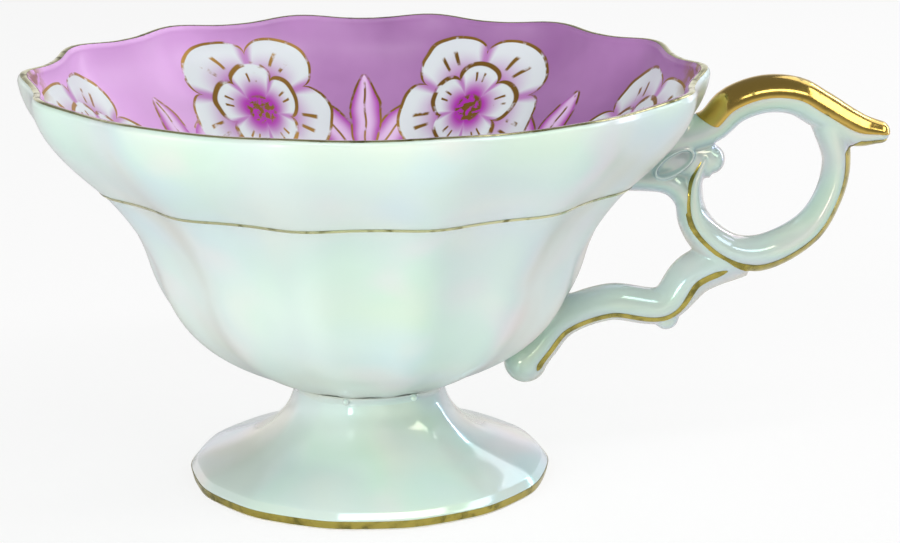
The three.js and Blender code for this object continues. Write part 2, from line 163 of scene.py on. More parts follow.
class HandleSizes(bpy.types.PropertyGroup):
    """Sizes of the handle in its own plane, and its depth across that plane."""

    ring_reach: length("Ring reach", 17.4, "From the waist to the middle of the ring")
    ring_height: length("Ring height", 44.5, "From the table to the middle of the ring")
    hole_length: length("Hole length", 19.5, "Longer width of the finger hole")
    hole_width: length("Hole width", 16.2, "Shorter width of the finger hole")
    hole_tilt: angle("Hole tilt", 54, "Lean of the longer width")
    ring_depth: length("Ring depth", 6.6, "Depth of the ring")
    curl_width: length("Curl width", 1.9, "Width of the ring at the curl")
    side_width: length("Side width", 2.9, "Width of the ring beside the bowl")
    turn_width: length("Turn width", 4, "Width of the ring where it turns under")
    bottom_width: length("Bottom width", 5.4, "Width of the ring at the bottom")
    back_width: length("Back width", 4.1, "Width of the ring at the back")
    crest_root: length("Crest root", 48.6, "Height of the crest on the collar")
    crest_width: length("Crest width", 5.5, "Width of the crest over the ring")
    crest_root_width: length("Crest root width", 5, "Width of the crest at the collar")
    crest_depth: length("Crest depth", 7.4, "Depth of the crest")
    spur_reach: length("Spur reach", 16.8, "From the middle of the ring to the thumb rest")
    spur_rise: length("Spur rise", 6.1, "Height of the thumb rest over the middle of the ring")
    spur_width: length("Spur width", 3.2, "Width of the thumb rest at its tip")
    spur_depth: length("Spur depth", 5, "Depth of the thumb rest at its tip")
    spur_sag: length("Spur sag", 0.9, "How far the thumb rest dips before its tip")
    arm_drop: length("Arm drop", 4.9, "From the root of the crest down to the arm")
    arm_width: length("Arm width", 4.3, "Width of the arm")
    arm_depth: length("Arm depth", 6.2, "Depth of the arm")
    arm_bend: length("Arm bend", 4.6, "Where the arm turns down, from the hole")
    scroll_width: length("Scroll width", 3.5, "Width of the scroll behind the ring")
    scroll_depth: length("Scroll depth", 5.6, "Depth of the scroll")
    scroll_near: length("Scroll near", 2.6, "Start of the scroll, from the hole")
    scroll_far: length("Scroll far", 4.0, "End of the scroll, from the hole")
    web_drop: length("Web drop", 2.6, "From the root of the crest down to the web")
    web_width: length("Web width", 5, "Width of the web between crest and arm")
    web_end: length("Web end", 5.6, "Width of the web at the curl")
    web_depth: length("Web depth", 5.8, "Depth of the web")
    curl_reach: length("Curl reach", 0.2, "How far the curl stands into the hole")
    curl_radius: length("Curl radius", 2.2, "Radius of the curl")
    leaf_length: length("Leaf length", 6.4, "Length of the moulded leaf")
    leaf_width: length("Leaf width", 2.8, "Width of the moulded leaf")
    leaf_proud: length("Leaf proud", 0.85, "How far the leaf's border stands out of the web")
    leaf_border: length("Leaf border", 0.9, "Width of the leaf's border")
    leaf_tilt: angle("Leaf tilt", 34, "Lean of the leaf")
    strut_width: length("Strut width", 5.6, "Width of the strut")
    strut_depth: length("Strut depth", 6, "Depth of the strut")
    strut_flare: length("Strut flare", 1.1, "How far the strut widens below where it meets the ring")
    knee_reach: length("Knee reach", 14.2, "From the middle of the ring back to the knee")
    knee_drop: length("Knee drop", 19.5, "From the middle of the ring down to the knee")
    strut_bow: length("Strut bow", 1.2, "How far the strut bows up between ring and knee")
    knob_radius: length("Knob radius", 1.9, "Radius of the knob under the knee")
    knob_shift: length("Knob shift", 0.5, "How far the knob lies past the knee")
    knob_sink: length("Knob sink", 0.9, "How far the knob sinks into the strut")
    crown_reach: length("Crown reach", 8.6, "From the bowl to the top of the strut's arch")
    crown_height: length("Crown height", 25.5, "From the table to the strut's arch")
    root_rise: length("Root rise", 9.4, "From the seat up to the root of the strut")
    root_bite: length("Root bite", 1.2, "How far the strut sinks into the bowl")
    lobe_rise: length("Lobe rise", 4.8, "From the seat up to the lobe")
    lobe_radius: length("Lobe radius", 3.2, "Radius of the lobe that ends the strut")
    tab_radius: length("Tab radius", 1.1, "Radius of the tab where the strut meets the ring")
    ridge: share("Ridge", 1.22, "How sharp the ridge along the limbs is, from 1")
    voxel: length("Voxel", 0.2, "Fineness of the handle's skin")
    fillet: length("Fillet", 1.1, "Width of the glaze that runs into the corner at the bowl")
    slip: length("Slip", 0.35, "Height of the slip over the bowl")


class LayerSizes(bpy.types.PropertyGroup):
    """Sizes of the layers that are fired on."""

    gap: length("Gap", 0.03, "Between a layer and the porcelain")
    enamel: length("Enamel", 0.15, "Thickness of the enamel")
    rim_lap: angle("Rim lap", 30, "How far the gold reaches down each side of the lip")
    gold: length("Gold", 0.06, "Thickness of the gold")
    waist_line: length("Waist line", 0.4, "Width of the gold line at the waist")
    line_angle: angle("Line angle", 9, "Half the width of a gold line on the handle")
    crest_lap: angle("Crest lap", 88, "How far the gold laps down the crest")


class CupColours(bpy.types.PropertyGroup):
    """Colours of the finishes."""

    porcelain: colour("Porcelain", 214, 229, 219, "Pearl glaze, most of the outside")
    green: colour("Green lustre", 208, 229, 214, "Green tint of the pearl glaze")
    blue: colour("Blue lustre", 208, 225, 223, "Blue tint of the pearl glaze")
    pink: colour("Pink lustre", 222, 225, 220, "Pink tint of the pearl glaze")
    biscuit: colour("Biscuit", 232, 226, 214, "Bare ring under the foot")
    ground: colour("Ground", 240, 186, 247, "Pink ground of the lining")
    # Painted shade: the lining darkens to this mauve towards its handle side (+x), and in drifting clouds of
    # deeper tone
    ground_shade_and_drift: colour("Deep ground", 158, 108, 164, "Mauve ground of the lining")
    leaf: colour("Leaf", 232, 200, 238, "Pale middle of the leaves")
    outline: colour("Outline", 150, 112, 44, "Gold drawn over the lining")
    petal: colour("Petal", 226, 236, 236, "White of the blossoms")
    shade: colour("Petal shade", 176, 40, 176, "Magenta in the hearts of the blossoms")
    gold: colour("Gold", 202, 170, 88, "Polished gold")
    gold_line: colour("Line gold", 180, 164, 84, "Gold of the lines on the handle and the foot")
    gold_worn: colour("Worn gold", 118, 112, 58, "Rubbed gold")
    gold_thin: colour("Thin gold", 206, 202, 158, "Gold of the fine lines")
    stage: colour("Stage", 244, 244, 244, "Floor and background")


class StageSettings(bpy.types.PropertyGroup):
    """The camera and the lamps."""

    camera_back: length("Camera back", 378.3, "From the axis of the cup to the camera")
    camera_height: length("Camera height", 131.03, "From the table to the camera")
    camera_pitch: angle("Camera pitch", 14.889, "How far the camera looks down")
    camera_yaw: angle("Camera yaw", 1.824, "How far the camera looks towards the handle")
    camera_roll: angle("Camera roll", -0.253, "How far the camera is turned about its view")
    focal_length: share("Focal length", 106.96, "Lens of the camera in millimetres")
    world: share("World", 0.34, "Strength of the light from all round")
    key: share("Key", 4.4, "Power of the large low lamp on the left, in watts")
    side: share("Side", 0.65, "Power of the long narrow lamp on the right, in watts")
    window: share("Window", 0.8, "Power of the small low lamp on the left, in watts")
    bar: share("Bar", 1.8, "Power of the bar over the camera, in watts")
    back: share("Back", 1.4, "Power of the lamp over the handle, in watts")
    rear: share("Rear", 0.55, "Power of the lamp behind the handle, in watts")


class CupSettings(bpy.types.PropertyGroup):
    """Everything that a user may change on the cup."""

    bowl: PointerProperty(type=BowlSizes)
    foot: PointerProperty(type=FootSizes)
    handle: PointerProperty(type=HandleSizes)
    layers: PointerProperty(type=LayerSizes)
    colours: PointerProperty(type=CupColours)
    stage: PointerProperty(type=StageSettings)


def settings():
    """What a user may change, as it stands in this scene."""
    return bpy.context.scene.footed_cup


# Profiles: points of radius, zero and height
def at(radius, height):
    return Vector((radius, 0, height))


def leaning(slope):
    """The way up a wall that leans out by an angle from the upright."""
    return Vector((math.sin(slope), 0, math.cos(slope)))


def falling(slope):
    """The way down a wall that leans out by an angle from the upright."""
    return Vector((math.sin(slope), 0, -math.cos(slope)))


def eased(start, leave, leave_ease, end, arrive, arrive_ease, points=24):
    """A curve between two points whose ends run along given directions."""
    return interpolate_bezier(start, start + leave * leave_ease, end - arrive * arrive_ease, end, points)


def run(*curves):
    """Curves end to end, with each shared point once."""
    points = list(curves[0])
    for curve in curves[1:]:
        points += curve[1:]
    return points


def right_of(points, place):
    """The way to the right of a line of points, at one of them."""
    along = (points[min(place + 1, len(points) - 1)] - points[max(place - 1, 0)]).normalized()
    return Vector((along.z, 0, -along.x))


def offset(points, first, last=None):
    """The line moved to its right, by a distance that may change along it."""
    last = first if last is None else last
    moved = []
    for place, point in enumerate(points):
        distance = first + (last - first) * place / (len(points) - 1)
        moved.append(point + right_of(points, place) * distance)
    return moved


def bowl_outside():
    """The outer wall of the bowl, from its seat on the foot up to the lip."""
    b = settings().bowl
    seat = at(b.seat_radius, b.seat_height), leaning(b.seat_slope)
    belly = at(b.belly_radius, b.belly_height), leaning(b.belly_slope)
    waist = at(b.waist_radius, b.waist_height), leaning(b.waist_slope)
    lip = at(b.rim_radius, b.rim_height - b.lip / 2), leaning(b.rim_slope)
    return run(
        eased(*seat, b.seat_ease, *belly, b.belly_ease_down),
        eased(*belly, b.belly_ease_up, *waist, b.waist_ease_down),
        eased(*waist, b.waist_ease_up, *lip, b.rim_ease),
    )


def lip_arc(radius, start=0.0, end=math.pi, points=13):
    """The round lip, from its outside over the top to its inside."""
    b = settings().bowl
    centre = at(b.rim_radius - b.lip / 2, b.rim_height - b.lip / 2)
    turns = [start + (end - start) * i / (points - 1) for i in range(points)]
    return [centre + at(math.cos(turn), math.sin(turn)) * radius for turn in turns]


def bowl_inside():
    """The inner wall of the bowl, from the lip down to the floor and to the axis."""
    b = settings().bowl
    floor = b.seat_height + b.floor
    wall = [point for point in offset(bowl_outside(), -b.wall, -b.lip) if point.z > floor]
    return [*reversed(wall), *[at(wall[0].x * part, floor) for part in (0.8, 0.4, 0)]]


def wall_point(height, distance):
    """A point of the outer wall at a height, moved out of the wall."""
    points = bowl_outside()
    place = next(i for i in range(1, len(points)) if points[i].z >= height)
    low, high = points[place - 1], points[place]
    point = low.lerp(high, (height - low.z) / (high.z - low.z))
    return point + right_of(points, place) * distance


def foot_top():
    """The height where the foot ends under its slip."""
    s = settings()
    return s.bowl.seat_height - s.foot.slip


def foot_side():
    """The outside of the foot, from its neck down to its gilded edge."""
    f = settings().foot
    down, spread, fall = falling(0), falling(f.skirt_slope), falling(f.lip_slope)
    neck = at(settings().bowl.seat_radius, foot_top())
    skirt = at(f.skirt_radius, f.skirt_height)
    edge = at(f.radius, f.edge_height)
    lip = edge + at(0, f.edge_ease) - fall * f.lip_length
    return run(
        eased(neck, down, f.neck_ease, skirt, spread, f.skirt_ease),
        eased(skirt, spread, f.skirt_ease, lip, fall, f.lip_ease),
        eased(lip, fall, f.lip_length - f.edge_ease, edge, down, f.edge_ease),
    )


def band(points, first, thickness):
    """A closed band that lies on a line of points."""
    return [*offset(points, first + thickness), *reversed(offset(points, first))]


# Meshes
def smooth(value, low, high):
    """Goes smoothly from 0 to 1 as a value goes from low to high."""
    part = min(max((value - low) / (high - low), 0), 1)
    return part * part * (3 - 2 * part)


def panel_wave(turn):
    """0 on a ridge, 1 in the middle of a panel; a ridge lies under the handle."""
    b = settings().bowl
    return 1 - abs(math.cos(b.panels * turn / 2)) ** b.sharpness


def panelled(bm, depth, edge_radius):
    """Draws a turned shape in at the middle of each panel, and dips its rim there."""
    b = settings().bowl
    for vert in bm.verts:
        reach = vert.co - AXIS
        wave = panel_wave(math.atan2(reach.y, reach.x))
        shrink = 1 - wave * depth / edge_radius
        dip = wave * b.scallop * smooth(vert.co.z, b.waist_height, b.rim_height)
        vert.co = Vector((AXIS.x + reach.x * shrink, reach.y * shrink, vert.co.z - dip))
    return bm


def turned(profile, closed=False, start=0.0, end=TURN):
    """A profile spun round the axis of the cup."""
    b = settings().bowl
    bm = bmesh.new()
    spin = Matrix.Rotation(start, 3, "Z")
    verts = [bm.verts.new(AXIS + spin @ point) for point in profile]
    edges = [bm.edges.new(pair) for pair in zip(verts, verts[1:])]
    if closed:
        edges.append(bm.edges.new((verts[-1], verts[0])))
    whole = end - start > TURN - 1e-6
    bmesh.ops.spin(bm, geom=verts + edges, cent=AXIS, axis=(0, 0, 1), angle=end - start,
                   steps=b.panels * b.steps, use_merge=whole)
    if not whole:
        bmesh.ops.holes_fill(bm, edges=bm.edges, sides=0)
    tidy(bm)
    return bm


def shells(bm):
    """The separate shells of a mesh, each as a set of faces."""
    left = set(bm.faces)
    while left:
        shell, border = set(), {next(iter(left))}
        while border:
            shell |= border
            border = {other for face in border for edge in face.edges for other in edge.link_faces} - shell
        left -= shell
        yield shell


def tidy(bm):
    """Merges doubles and points every face of each closed shell outwards."""
    bmesh.ops.remove_doubles(bm, verts=bm.verts, dist=MERGE_DISTANCE)
    bmesh.ops.recalc_face_normals(bm, faces=bm.faces)
    for shell in list(shells(bm)):
        volume = sum(face.normal.dot(face.calc_center_median()) * face.calc_area() for face in shell)
        if volume < 0:
            bmesh.ops.reverse_faces(bm, faces=list(shell))


def on_bowl(profile, **how):
    """A turned profile with the panels of the bowl."""
    b = settings().bowl
    return panelled(turned(profile, **how), b.panel_depth, b.rim_radius)


def on_foot(profile, **how):
    """A turned profile with the panels of the foot."""
    f = settings().foot
    return panelled(turned(profile, **how), f.panel_depth, f.radius)


def mesh_from(bm, name):
    """A finished bmesh as a mesh; the bmesh is freed."""
    mesh = bpy.data.meshes.new(name)
    bm.to_mesh(mesh)
    bm.free()
    return mesh


def placed(name, data):
    """A new object in the scene."""
    made = bpy.data.objects.new(name, data)
    bpy.context.scene.collection.objects.link(made)
    return made


def piece(name, bm, material, slot, *nodes):
    """Makes a mesh a named piece that stands for nodes of the frame."""
    mesh = mesh_from(bm, name)
    mesh.shade_smooth()
    mesh.set_sharp_from_angle(angle=SHARP_ANGLE)
    mesh.materials.append(material)
    made = placed(name, mesh)
    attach(made, BODY)
    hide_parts(*nodes)


# Limbs of the handle: stations of place, width in the plane and depth across it
def spline(points, t):
    """A smooth line through points, by share t, with its knots spread by the root of their distance."""
    last = len(points) - 1
    place = min(int(t * last), last - 1)
    p1, p2 = points[place], points[place + 1]
    p0 = points[place - 1] if place else p1 * 2 - p2
    p3 = points[place + 2] if place + 2 <= last else p2 * 2 - p1
    d0, d1, d2 = (max((b - a).length, 1e-9) ** 0.5 for a, b in ((p0, p1), (p1, p2), (p2, p3)))
    m1 = ((p1 - p0) / d0 - (p2 - p0) / (d0 + d1) + (p2 - p1) / d1) * d1
    m2 = ((p2 - p1) / d1 - (p3 - p1) / (d1 + d2) + (p3 - p2) / d2) * d1
    s = t * last - place
    return (p1 * (2 * s ** 3 - 3 * s ** 2 + 1) + m1 * (s ** 3 - 2 * s ** 2 + s)
            + p2 * (3 * s ** 2 - 2 * s ** 3) + m2 * (s ** 3 - s ** 2))


class Limb:
    """A limb with an oval section, from stations of (place, width, depth).

    A ridge over 1 sharpens the oval."""

    def __init__(self, *stations, ridge=1.0):
        self.ridge = ridge
        self.places = [place for place, width, depth in stations]
        self.sizes = [Vector((width / 2, depth / 2, 0)) for place, width, depth in stations]

    def frame(self, t):
        """The section a share t along the limb; from t 1 to 2 the end rounds off."""
        step, smallest = 1e-3, 0.02
        inside = min(t, 1)
        middle = spline(self.places, inside)
        along = spline(self.places, min(inside + step, 1)) - spline(self.places, max(inside - step, 0))
        along.normalize()
        half = spline(self.sizes, inside)
        turn = (max(t, 1) - 1) * math.pi / 2
        middle = middle + along * half.x * math.sin(turn) + AXIS
        half = half * max(math.cos(turn), smallest)
        side = Vector((along.z, 0, -along.x)) * half.x
        across = Vector((0, half.y, 0))
        section = Matrix.Identity(4)
        for column, way in enumerate((side, across, along, middle)):
            section.col[column][:3] = way
        return section

    def skin(self, t, turn):
        """A point on the limb's skin, at an angle from its side."""
        return self.frame(t) @ self.ridged(math.cos(turn), math.sin(turn))

    def ridged(self, side, across):
        """A point of a round section, moved to the ridged one."""
        return Vector([math.copysign(abs(part) ** self.ridge, part) for part in (side, across)] + [0])

    def loft(self, bm, steps=60, end=1.0, sides=40):
        """Adds the limb to a mesh: a ring pushed from section to section."""
        frames = [self.frame(end * i / steps) for i in range(steps + 1)]
        verts = bmesh.ops.create_circle(bm, cap_ends=True, radius=1, segments=sides)["verts"]
        for vert in verts:
            vert.co = frames[0] @ self.ridged(vert.co.x, vert.co.y)
        ring = list(dict.fromkeys(edge for vert in verts for edge in vert.link_edges))
        for before, after in zip(frames, frames[1:]):
            made = bmesh.ops.extrude_edge_only(bm, edges=ring)["geom"]
            verts = [part for part in made if isinstance(part, bmesh.types.BMVert)]
            edges = [part for part in made if isinstance(part, bmesh.types.BMEdge)]
            moved = set(verts)
            ring = [edge for edge in edges if moved.issuperset(edge.verts)]
            bmesh.ops.transform(bm, matrix=after @ before.inverted(), verts=verts)
        bmesh.ops.contextual_create(bm, geom=ring)


def hole_edge(turn):
    """From the middle of the ring to the edge of its oval hole."""
    h = settings().handle
    off = turn - h.hole_tilt
    return 1 / math.hypot(2 * math.cos(off) / h.hole_length, 2 * math.sin(off) / h.hole_width)


def ring_centre():
    s = settings()
    return at(s.bowl.waist_radius + s.handle.ring_reach, s.handle.ring_height)


def ring_point(degrees, out):
    """A point round the ring, out from the edge of its hole."""
    turn = math.radians(degrees)
    return ring_centre() + at(math.cos(turn), math.sin(turn)) * (hole_edge(turn) + out)


def ring_limb():
    """The band of the ring, from the curl down the near side, along the bottom and up the back."""
    h = settings().handle
    widths = {
        160: h.curl_width,
        188: h.side_width,
        215: h.turn_width,
        245: (h.turn_width + h.bottom_width) / 2,
        268: h.bottom_width,
        308: (h.bottom_width + h.back_width) / 2,
        340: h.back_width,
        370: h.back_width,
        400: h.crest_width,
    }
    stations = [(ring_point(turn, width / 2), width, h.ring_depth) for turn, width in widths.items()]
    return Limb(*stations, ridge=h.ridge)


def spur_tip():
    h = settings().handle
    return ring_centre() + at(h.spur_reach, h.spur_rise)


def crest_limb():
    """The crest, from the collar over the ring and out to the thumb rest."""
    h = settings().handle
    root_turn, over_turns, sag_share = 138, (114, 90, 68, 50), 0.6
    over = [(ring_point(turn, h.crest_width / 2), h.crest_width, h.crest_depth) for turn in over_turns]
    sag = over[-1][0].lerp(spur_tip(), sag_share) - at(0, h.spur_sag)
    return Limb(
        (wall_point(h.crest_root, -settings().bowl.wall / 2), h.crest_root_width, h.crest_depth),
        (ring_point(root_turn, h.crest_root_width / 2), h.crest_root_width, h.crest_depth),
        *over,
        (sag, h.crest_root_width, (h.crest_depth + h.spur_depth) / 2),
        (spur_tip(), h.spur_width, h.spur_depth),
        ridge=(h.ridge + 1) / 2,
    )


def arm_limb():
    """The lower arm and the scroll that it runs into, behind the band of the ring."""
    h = settings().handle
    bend_turn, scroll_turn, scroll_sweep, steps = 184, 199, 44, 3
    scroll = []
    for step in range(steps + 1):
        out = h.scroll_near + (h.scroll_far - h.scroll_near) * step / steps
        place = ring_point(scroll_turn + scroll_sweep * step / steps, out)
        scroll.append((place, h.scroll_width, h.scroll_depth))
    return Limb(
        (wall_point(h.crest_root - h.arm_drop, -settings().bowl.wall / 2), h.arm_width, h.arm_depth),
        (ring_point(bend_turn, h.arm_bend), h.arm_width, h.arm_depth),
        *scroll,
        ridge=h.ridge,
    )


def curl_place():
    curl_turn = 163
    return ring_point(curl_turn, -settings().handle.curl_reach)


def web_limb():
    """The web that fills the corner between the crest and the arm."""
    h = settings().handle
    root = wall_point(h.crest_root - h.web_drop, -settings().bowl.wall / 2)
    places = (root, root.lerp(curl_place(), 0.5), curl_place())
    widths = (h.web_width, h.web_width, h.web_end)
    return Limb(*[(place, width, h.web_depth) for place, width in zip(places, widths)])


def leaf_limb():
    """The border of the moulded leaf, which stands out of the web on both sides."""
    h = settings().handle
    steps = 12
    middle = web_limb().places[1]
    tilt = Matrix.Rotation(-h.leaf_tilt, 3, "Y")
    turns = [TURN * step / steps for step in range(steps + 1)]
    places = [at(math.cos(turn) * h.leaf_length / 2, math.sin(turn) * h.leaf_width / 2) for turn in turns]
    depth = h.web_depth + 2 * h.leaf_proud
    return Limb(*[(middle + tilt @ place, h.leaf_border, depth) for place in places])


def knee_place():
    h = settings().handle
    return ring_centre() - at(h.knee_reach, h.knee_drop)


def lobe_place():
    s = settings()
    return wall_point(s.bowl.seat_height + s.handle.lobe_rise, s.handle.lobe_radius)


def strut_limb():
    """The strut, from the ring to the knee, over its arch and down the side of the bowl."""
    s = settings()
    h = s.handle
    top_turn, flare_shift, lobe_share = 254, 0.35, 0.6
    top = ring_point(top_turn, h.bottom_width / 2)
    bend = top.lerp(knee_place(), 0.5) + at(-h.strut_bow, h.strut_bow)
    crown = at(wall_point(h.crown_height, h.crown_reach).x, h.crown_height)
    root = wall_point(s.bowl.seat_height + h.root_rise, h.strut_width / 2 - h.root_bite)
    flare = at(h.strut_flare, -h.strut_flare) * flare_shift
    wide = [(place + flare, h.strut_width + h.strut_flare, h.strut_depth) for place in (top, bend)]
    places = (knee_place(), crown, root, root.lerp(lobe_place(), lobe_share))
    return Limb(
        *wide,
        *[(place, h.strut_width, h.strut_depth) for place in places],
        (lobe_place(), 2 * h.lobe_radius, h.strut_depth),
        ridge=h.ridge,
    )


def egg(bm, place, radius, right_shade_and_drift):
    """Adds an egg that is round in the handle's plane, from its two half sizes."""
    matrix = Matrix.Translation(place + AXIS) @ Matrix.Diagonal((radius, right_shade_and_drift, radius, 1))
    bmesh.ops.create_uvsphere(bm, u_segments=32, v_segments=16, radius=1, matrix=matrix)


def handle_solids():
    """The overlapping limbs and eggs that the handle is made of."""
    h = settings().handle
    crest_end, tab_turn = 1.98, 257
    bm = bmesh.new()
    for limb in (ring_limb(), arm_limb(), web_limb(), strut_limb(), leaf_limb()):
        limb.loft(bm)
    crest_limb().loft(bm, end=crest_end)
    tab = ring_point(tab_turn, h.bottom_width - h.tab_radius / 3)
    knob = knee_place() + at(h.knob_shift, h.knob_sink - h.strut_width / 2)
    egg(bm, curl_place(), h.curl_radius, h.web_depth / 2)
    egg(bm, tab, h.tab_radius, h.strut_depth / 2.5)
    egg(bm, lobe_place(), h.lobe_radius, h.strut_depth / 2)
    egg(bm, knob, h.knob_radius, h.knob_radius)
    tidy(bm)
    return bm


# The skin of the handle
def glazed(bm, name):
    """The overlapping solids of a mesh as one skin, softened as glaze softens a casting."""
    mesh = mesh_from(bm, name)
    rough = placed(name, mesh)
    skin = rough.modifiers.new("Skin", "REMESH")
    skin.mode = "VOXEL"
    skin.voxel_size = settings().handle.voxel
    soft = rough.modifiers.new("Soft", "SMOOTH")
    soft.factor = 0.5
    soft.iterations = 12
    depsgraph = bpy.context.evaluated_depsgraph_get()
    made = bpy.data.meshes.new_from_object(rough.evaluated_get(depsgraph))
    bpy.data.objects.remove(rough)
    bpy.data.meshes.remove(mesh)
    out = bmesh.new()
    out.from_mesh(made)
    bpy.data.meshes.remove(made)
    return out


def tree_of(bm):
    """The faces of a bmesh, to measure distances from; the bmesh is freed.

    They are sorted, so that each run picks the same one of two faces that are equally near."""
    order = sorted(bm.faces, key=lambda face: tuple(face.calc_center_median()))
    ranks = {face: rank for rank, face in enumerate(order)}
    bm.faces.sort(key=ranks.get)
    tree = BVHTree.FromBMesh(bm)
    bm.free()
    return tree


def bowl_skin():
    """The outside of the bowl, carried on upwards past the rim, to measure distances from."""
    b = settings().bowl
    above = at(b.rim_radius, b.rim_height * 1.5)
    return tree_of(on_bowl([at(0, b.seat_height), *bowl_outside(), above]))


def seated(bm):
    """Ends a handle inside the wall of the bowl, and flares it where the glaze runs into the corner.

    Gives the height of each vertex over the bowl, in their order."""
    s = settings()
    fillet, spread = s.handle.fillet, 0.7
    deepest = -s.bowl.lip * 0.6
    tree = bowl_skin()
    heights = []
    bm.normal_update()
    for vert in bm.verts:
        spot, normal = tree.find_nearest(vert.co)[:2]
        height = (vert.co - spot).dot(normal)
        if height < fillet:
            flare = (1 - max(height, 0) / fillet) ** 2
            outwards = vert.normal - normal * vert.normal.dot(normal)
            vert.co += outwards * flare * fillet * spread
            vert.co += normal * max(deepest - height, 0)
        heights.append(height)
    return heights


def cut_low(bm, heights, height):
    """Cuts a mesh along the line at a height over the bowl, and gives the faces under it."""
    place = bm.verts.layers.float_vector.new("place")
    for vert, level in zip(bm.verts, heights):
        vert[place] = vert.co
        vert.co.z = level
    geom = [*bm.verts, *bm.edges, *bm.faces]
    bmesh.ops.bisect_plane(bm, geom=geom, dist=MERGE_DISTANCE, plane_co=(0, 0, height), plane_no=(0, 0, 1))
    low = [face for face in bm.faces if face.calc_center_median().z < height]
    for vert in bm.verts:
        vert.co = vert[place]
    bm.verts.layers.float_vector.remove(place)
    return low


def split_off(bm, faces):
    """A copy of the mesh with only these faces; they leave the mesh they came from."""
    bm.faces.index_update()
    keep = {face.index for face in faces}
    apart = bm.copy()
    apart.faces.index_update()
    bmesh.ops.delete(apart, geom=[face for face in apart.faces if face.index not in keep], context="FACES")
    bmesh.ops.delete(bm, geom=faces, context="FACES")
    return apart


def closed(bm):
    """Closes the holes of a mesh."""
    bmesh.ops.holes_fill(bm, edges=[edge for edge in bm.edges if edge.is_boundary], sides=0)
    tidy(bm)
    return bm


# Node helpers
class Field:
    """A number that varies over a surface, worked out by shader nodes."""

    def __init__(self, tree, output):
        self.tree = tree
        self.output = output

    def calc(self, operation, *others):
        node = self.tree.nodes.new("ShaderNodeMath")
        node.operation = operation
        for socket, value in zip(node.inputs, (self, *others)):
            feed(self.tree, socket, value)
        return Field(self.tree, node.outputs[0])

    __add__ = partialmethod(calc, "ADD")
    __sub__ = partialmethod(calc, "SUBTRACT")
    __mul__ = partialmethod(calc, "MULTIPLY")
    __truediv__ = partialmethod(calc, "DIVIDE")
    __pow__ = partialmethod(calc, "POWER")
    __abs__ = partialmethod(calc, "ABSOLUTE")
    cos = partialmethod(calc, "COSINE")
    fraction = partialmethod(calc, "FRACT")
    most = partialmethod(calc, "MAXIMUM")

    def turn_from(self, other):
        """The angle of the point (other, self)."""
        return self.calc("ARCTAN2", other)

    def rest(self):
        """What the field leaves of 1."""
        return self.calc("MULTIPLY_ADD", -1, 1)

    def ramp(self, low, high, first=0.0, last=1.0):
        """Goes smoothly from first to last as the field goes from low to high."""
        node = self.tree.nodes.new("ShaderNodeMapRange")
        node.interpolation_type = "SMOOTHSTEP"
        for socket, value in zip(node.inputs, (self, low, high, first, last)):
            feed(self.tree, socket, value)
        return Field(self.tree, node.outputs[0])


def feed(tree, socket, value):
    """Sets a socket to a constant, or links a field or another socket to it."""
    if isinstance(value, Field):
        tree.links.new(value.output, socket)
    elif isinstance(value, bpy.types.NodeSocket):
        tree.links.new(value, socket)
    elif socket.type == "RGBA" and len(value) == 3:
        socket.default_value = (*value, 1)
    else:
        socket.default_value = value


def new_material(name, **constants):
    """A material with a principled shader, and its constants set on the shader's own sockets."""
    material = bpy.data.materials.new(name)
    material.use_nodes = True
    shader = material.node_tree.nodes["Principled BSDF"]
    for socket, value in constants.items():
        feed(material.node_tree, shader.inputs[socket.replace("_", " ")], value)
    return material, material.node_tree, shader


def surface_place(tree):
    """Where a point lies: x and y from the axis of the cup, and height, in millimetres."""
    coordinates = tree.nodes.new("ShaderNodeTexCoord")
    mapping = tree.nodes.new("ShaderNodeMapping")
    mapping.inputs["Location"].default_value = -AXIS / MM
    mapping.inputs["Scale"].default_value = (1 / MM,) * 3
    tree.links.new(coordinates.outputs["Object"], mapping.inputs["Vector"])
    parts = tree.nodes.new("ShaderNodeSeparateXYZ")
    tree.links.new(mapping.outputs["Vector"], parts.inputs["Vector"])
    return mapping.outputs["Vector"], [Field(tree, output) for output in parts.outputs]


def clouds(tree, vector, size, detail=2.0, roughness=0.5):
    """Soft clouds of a size in millimetres, about 0 to 1."""
    node = tree.nodes.new("ShaderNodeTexNoise")
    node.inputs["Scale"].default_value = 1 / size
    node.inputs["Detail"].default_value = detail
    node.inputs["Roughness"].default_value = roughness
    tree.links.new(vector, node.inputs["Vector"])
    return Field(tree, node.outputs["Fac"])


def blended(tree, amount, first, second):
    """A colour between two, by a field from 0 to 1."""
    node = tree.nodes.new("ShaderNodeMix")
    node.data_type = "RGBA"
    feed(tree, node.inputs["Factor"], amount)
    feed(tree, node.inputs["A"], first)
    feed(tree, node.inputs["B"], second)
    return node.outputs["Result"]


def rippled(tree, shader, height, depth):
    """Raises a surface by a field, by a depth in millimetres."""
    bump = tree.nodes.new("ShaderNodeBump")
    bump.inputs["Strength"].default_value = 1
    bump.inputs["Distance"].default_value = depth * MM
    feed(tree, bump.inputs["Height"], height)
    tree.links.new(bump.outputs["Normal"], shader.inputs["Normal"])


